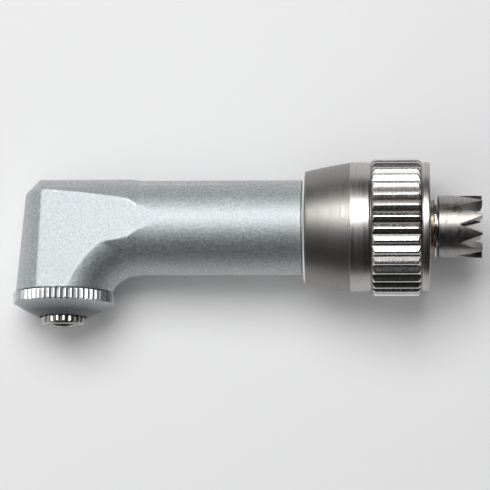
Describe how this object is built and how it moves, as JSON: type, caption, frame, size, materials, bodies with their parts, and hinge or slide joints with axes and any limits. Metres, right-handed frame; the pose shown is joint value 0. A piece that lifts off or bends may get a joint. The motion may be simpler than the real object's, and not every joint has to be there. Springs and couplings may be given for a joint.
{
  "type": "contra angle handpiece head",
  "caption": "Right-angle dental handpiece head: geared spindle with a knurled screw cap, slim barrel, knurled coupling nut and a toothed crown drive coupling.",
  "frame": {"origin": "centre of the drive shaft's rear end face, on the barrel's axis, inside the crown gear", "axes": "+X along the barrel from the head to the crown gear, -Y along the spindle towards the tool, +Z square to both, out of one of the head's side flats"},
  "size_m": [0.0469, 0.0167, 0.0138],
  "materials": {
    "satin_chrome": "bead-blasted satin chrome plate",
    "brushed_stainless": "turned and brushed stainless steel, polished ridges",
    "machined_steel": "machined steel, lightly worn",
    "bearing_steel": "ground and polished hardened steel",
    "bronze": "turned bearing bronze",
    "spring_steel": "tempered spring steel",
    "seal_rubber": "moulded black rubber"
  },
  "bodies": {
    "head": {"head_housing": "satin_chrome", "head_cap": "satin_chrome", "cap_shim": "bearing_steel", "spindle_seal": "seal_rubber", "lower_bearing_outer_race": "bearing_steel", "upper_spindle_bush": "bronze", "front_bearing_outer_race": "bearing_steel", "rear_bearing_outer_race": "bearing_steel", "bearing_spacer_sleeve": "machined_steel", "preload_wave_washer": "spring_steel", "bearing_retainer_nut": "machined_steel", "rear_bronze_bush": "bronze", "nut_retaining_ring": "spring_steel", "locating_pin": "machined_steel"},
    "drive_line": {"drive_shaft": "machined_steel", "drive_pinion": "machined_steel", "front_bearing_inner_race": "bearing_steel", "rear_bearing_inner_race": "bearing_steel", "shaft_spacer_tube": "machined_steel", "shaft_circlip": "spring_steel", "thrust_washer": "bearing_steel", "crown_gear": "machined_steel"},
    "spindle_line": {"spindle": "machined_steel", "driven_gear": "machined_steel", "lower_bearing_inner_race": "bearing_steel", "nose_collar": "bearing_steel", "shank_grip_sleeve": "spring_steel"},
    "front_cage": {"front_bearing_balls": "bearing_steel"},
    "rear_cage": {"rear_bearing_balls": "bearing_steel"},
    "lower_cage": {"lower_bearing_balls": "bearing_steel"},
    "nut": {"coupling_nut": "brushed_stainless"}
  },
  "joints": [
    {"name": "drive_shaft_spin", "type": "hinge", "parent": "head", "child": "drive_line", "pos_m": [0, 0, 0], "axis": [1, 0, 0], "continuous": true},
    {"name": "spindle_spin", "type": "hinge", "parent": "head", "child": "spindle_line", "pos_m": [-0.0392, 0, 0], "axis": [0, -1, 0], "continuous": true},
    {"name": "front_cage_spin", "type": "hinge", "parent": "head", "child": "front_cage", "pos_m": [-0.03425, 0, 0], "axis": [1, 0, 0], "continuous": true},
    {"name": "rear_cage_spin", "type": "hinge", "parent": "head", "child": "rear_cage", "pos_m": [-0.01105, 0, 0], "axis": [1, 0, 0], "continuous": true},
    {"name": "lower_cage_spin", "type": "hinge", "parent": "head", "child": "lower_cage", "pos_m": [-0.0392, -0.0055, 0], "axis": [0, -1, 0], "continuous": true},
    {"name": "coupling_nut_spin", "type": "hinge", "parent": "head", "child": "nut", "pos_m": [-0.0087, 0, 0], "axis": [1, 0, 0], "continuous": true}
  ],
  "couplings": [
    {"joint": "spindle_spin", "follows": "drive_shaft_spin", "ratio": -1},
    {"joint": "front_cage_spin", "follows": "drive_shaft_spin", "ratio": 0.3864},
    {"joint": "rear_cage_spin", "follows": "drive_shaft_spin", "ratio": 0.3864},
    {"joint": "lower_cage_spin", "follows": "drive_shaft_spin", "ratio": -0.4183}
  ]
}
